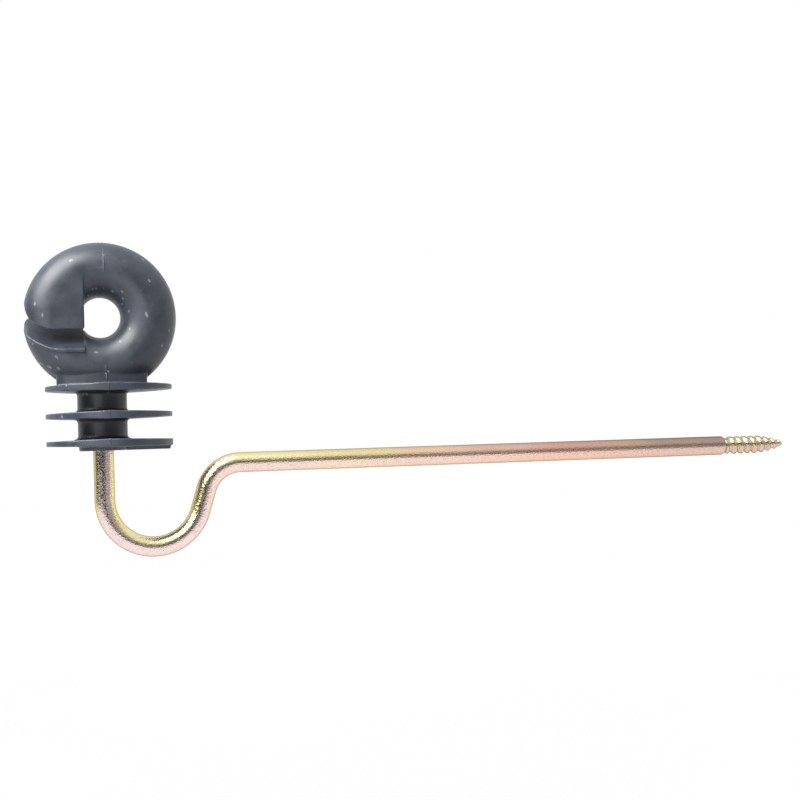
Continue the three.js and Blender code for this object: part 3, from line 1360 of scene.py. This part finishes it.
    def ridge(self) -> bpy.types.Object:
        """Sweeps the thread's round-backed ridge round the core, dying away at both ends.

        Returns:
            The ridge, with its foot inside the core.
        """
        outline = self.ridge_outline()
        start = self.ridge_start
        length = self.thread_length - self.ridge_stop - start
        bpy.ops.mesh.primitive_circle_add(vertices=len(outline), radius=1, fill_type="NGON")
        ridge = settle("thread_ridge")
        core, size = self.ridge_station(start)
        with editing(ridge):
            mesh = bmesh.from_edit_mesh(ridge.data)
            for vert, (x, z) in zip(mesh.verts, outline):
                vert.co = (start + size * x, 0, core + size * z)
            bmesh.update_edit_mesh(ridge.data)
            bpy.ops.mesh.select_all(action="SELECT")
            steps = round(length / self.pitch * self.turn_steps)
            x, angle = start, 0.0
            for i in range(1, steps + 1):
                next_x = start + length * i / steps
                next_angle = 2 * math.pi * (next_x - start) / self.pitch
                next_core, next_size = self.ridge_station(next_x)
                extrude((next_x - x, 0, 0))
                outward = Vector((0, -math.sin(angle), math.cos(angle)))
                on_core = (next_x, *(outward * core)[1:])
                bpy.ops.transform.resize(value=(next_size / size,) * 3, center_override=on_core)
                bpy.ops.transform.translate(value=outward * (next_core - core))
                bpy.ops.transform.rotate(
                    value=angle - next_angle, orient_axis="X", center_override=(next_x, 0, 0)
                )
                x, angle, core, size = next_x, next_angle, next_core, next_size
            bpy.ops.mesh.select_all(action="SELECT")
            bpy.ops.mesh.normals_make_consistent(inside=False)
        return ridge

    def ridge_station(self, x: float) -> tuple[float, float]:
        """Finds the sizes of one station of the thread.

        Args:
            x: The distance from where the thread begins.

        Returns:
            The core's radius under the ridge, and the ridge's share of its full size.
        """
        end = self.thread_length - self.ridge_stop
        grown = min((x - self.ridge_start) / self.fade_in, (end - x) / self.fade_out, 1.0)
        return self.core_radius(x), self.fade_least + (1 - self.fade_least) * grown

    def build(self) -> bpy.types.Object:
        """Models the shank.

        Returns:
            The shank in metres, with no finish yet.
        """
        rod = self.rod()
        combine(rod, self.ridge(), Cut.ADD)
        bring_to_metres(rod)
        return rod


# ---- Dressing the pieces ------------------------------------------------------------------------


def dress(
    piece: bpy.types.Object, material: bpy.types.Material, node: str, crease: float | None
) -> None:
    """Gives a finished piece its material, shading and body, and hides the CAD node that it stands for.

    Args:
        piece: The piece.
        material: Its finish.
        node: The CAD node that it replaces.
        crease: The angle in degrees past which an edge stays sharp, or None for no sharp edge.
    """
    make_active(piece)
    piece.data.materials.clear()
    piece.data.materials.append(material)
    if crease is None:
        bpy.ops.object.shade_smooth()
    else:
        bpy.ops.object.shade_smooth_by_angle(angle=math.radians(crease))
    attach(piece, "root")
    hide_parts(node)
    log.info("%s: %d faces, stands for %s", piece.name, len(piece.data.polygons), node)


# ---- The studio ---------------------------------------------------------------------------------


@dataclass(frozen=True)
class Softbox:
    """A square soft light, flagged off everything but some pieces."""

    name: str
    place: Point
    size: float  # metres, the side of its square
    energy: float  # watts

    def hang(self, target: Point, lit: list[bpy.types.Object]) -> None:
        """Hangs the light.

        Args:
            target: What it faces.
            lit: The pieces that its light falls on.
        """
        bpy.ops.object.light_add(type="AREA", location=self.place)
        lamp = bpy.context.active_object
        lamp.name = self.name
        lamp.data.name = self.name
        lamp.data.shape = "SQUARE"
        lamp.data.size = self.size
        lamp.data.energy = self.energy
        flag = bpy.data.collections.new(f"{self.name}_lights")
        for piece in lit:
            flag.objects.link(piece)
        lamp.light_linking.receiver_collection = flag
        way = Vector(target) - Vector(self.place)
        lamp.rotation_euler = way.to_track_quat("-Z", "Y").to_euler()


@dataclass
class Studio:
    """Floor, light and camera. Sizes are in metres."""

    floor_z: float = -0.17
    floor_size: Point = (4.6, 4.6, 1.0)
    floor_middle: Point = (0.9, 1.6, 0.0)
    camera_place: Point = (-0.219035, -0.466847, 0.007258)
    yaw: float = 13.522  # degrees, from +Y towards +X
    pitch: float = 1.211  # degrees up
    roll: float = 1.776  # degrees
    lens: float = 70.12  # mm, on a sensor as wide as the next value
    sensor_width: float = 36.0
    front_way: tuple[float, float] = (-0.35, -0.94)  # the middle of the surroundings' dark front
    dark_left: float = 0.03  # its strength in front of the head, and towards the thread
    dark_right: float = 0.32
    front_span: tuple[float, float] = (-0.4, 0.25)  # where the dark front starts and where it is full
    overhead_span: tuple[float, float] = (0.2, 0.72)  # how high it starts to fade and where it is gone
    side_span: tuple[float, float] = (0.04, 0.36)  # the X over which it pales towards the thread
    lit_middle: Point = (-0.19, 0.0, 0.03)  # what the lights face
    key: Softbox = Softbox("key_softbox", (-0.75, -0.35, 0.72), 0.8, 26.0)
    fill: Softbox = Softbox("fill_softbox", (-0.42, -0.52, -0.08), 0.45, 1.25)

    def floor(self) -> None:
        """Lays the pale floor."""
        middle = (self.floor_middle[0], self.floor_middle[1], self.floor_z)
        bpy.ops.mesh.primitive_plane_add(size=1, location=middle)
        board = settle("studio_floor")
        with editing(board):
            bpy.ops.mesh.select_all(action="SELECT")
            bpy.ops.transform.resize(value=self.floor_size, center_override=middle)
        board.data.materials.append(StudioFloor().material())

    def surroundings(self) -> None:
        """Sets a white world whose front, behind the camera, is dark in reflections."""
        world = bpy.data.worlds.new("studio_surround")
        bpy.context.scene.world = world
        world.use_nodes = True
        tree = world.node_tree
        tree.nodes.clear()
        generated = add_node(tree, "ShaderNodeTexCoord").outputs["Generated"]
        way = add_node(tree, "ShaderNodeSeparateXYZ", inputs={0: generated}).outputs
        across = add_node(
            tree, "ShaderNodeMath", {"operation": "MULTIPLY"}, {0: way["X"], 1: self.front_way[0]}
        ).outputs["Value"]
        ahead = add_node(
            tree, "ShaderNodeMath", {"operation": "MULTIPLY"}, {0: way["Y"], 1: self.front_way[1]}
        ).outputs["Value"]
        frontal = add_node(tree, "ShaderNodeMath", {"operation": "ADD"}, {0: across, 1: ahead})
        towards = add_node(
            tree,
            "ShaderNodeMapRange",
            EASED,
            {
                "Value": frontal.outputs["Value"],
                "From Min": self.front_span[0],
                "From Max": self.front_span[1],
            },
        ).outputs["Result"]
        low = add_node(
            tree,
            "ShaderNodeMapRange",
            EASED,
            {
                "Value": way["Z"],
                "From Min": self.overhead_span[0],
                "From Max": self.overhead_span[1],
                "To Min": 1.0,
                "To Max": 0.0,
            },
        ).outputs["Result"]
        dark = add_node(
            tree, "ShaderNodeMath", {"operation": "MULTIPLY"}, {0: towards, 1: low}
        ).outputs["Value"]
        dim = add_node(
            tree,
            "ShaderNodeMapRange",
            EASED,
            {
                "Value": way["X"],
                "From Min": self.side_span[0],
                "From Max": self.side_span[1],
                "To Min": self.dark_left,
                "To Max": self.dark_right,
            },
        ).outputs["Result"]
        strength = add_node(tree, "ShaderNodeMix", inputs={0: dark, 2: 1.0, 3: dim}).outputs[0]
        white = linear("ffffff")
        lighting = add_node(tree, "ShaderNodeBackground", inputs={"Color": white, "Strength": strength})
        backdrop = add_node(tree, "ShaderNodeBackground", inputs={"Color": white, "Strength": 1.0})
        seen = add_node(tree, "ShaderNodeLightPath").outputs["Is Camera Ray"]
        mixed = add_node(
            tree,
            "ShaderNodeMixShader",
            inputs={0: seen, 1: lighting.outputs[0], 2: backdrop.outputs[0]},
        )
        add_node(tree, "ShaderNodeOutputWorld", inputs={"Surface": mixed.outputs[0]})

    def camera(self) -> None:
        """Stands the camera at its viewing angle."""
        yaw, pitch, roll = (math.radians(a) for a in (self.yaw, self.pitch, self.roll))
        level = math.cos(pitch)
        ahead = Vector((math.sin(yaw) * level, math.cos(yaw) * level, math.sin(pitch)))
        right = Vector((math.cos(yaw), -math.sin(yaw), 0))
        up = right.cross(ahead)
        level_right = right * math.cos(roll) - up * math.sin(roll)
        level_up = right * math.sin(roll) + up * math.cos(roll)
        bpy.ops.object.camera_add()
        eye = bpy.context.active_object
        eye.name = "studio_camera"
        turn = Matrix((level_right, level_up, -ahead)).transposed()
        eye.matrix_world = Matrix.Translation(self.camera_place) @ turn.to_4x4()
        eye.data.sensor_width = self.sensor_width
        eye.data.lens = self.lens
        eye.data.clip_start = 0.01
        bpy.context.scene.camera = eye

    def build(self, head: bpy.types.Object, shank: bpy.types.Object) -> None:
        """Sets up the whole studio round the pieces.

        Args:
            head: The plastic head, which both lights fall on.
            shank: The steel shank, which only the key light falls on.
        """
        self.floor()
        self.surroundings()
        self.key.hang(self.lit_middle, [head, shank])
        self.fill.hang(self.lit_middle, [head])
        self.camera()
        bpy.context.scene.view_settings.view_transform = "Standard"
        log.info("studio set up")


def main() -> None:
    """Builds the head, the shank and the studio in order."""
    logging.basicConfig(level=logging.INFO, format="%(name)s: %(message)s")
    head = HeadMoulding().build()
    dress(head, MouldedPolymer().material(), "insulator_head", crease=None)
    shank = ScrewShank().build()
    dress(shank, YellowZinc().material(), "screw_shank", crease=40)
    Studio().build(head, shank)


if __name__ == "__main__":
    main()
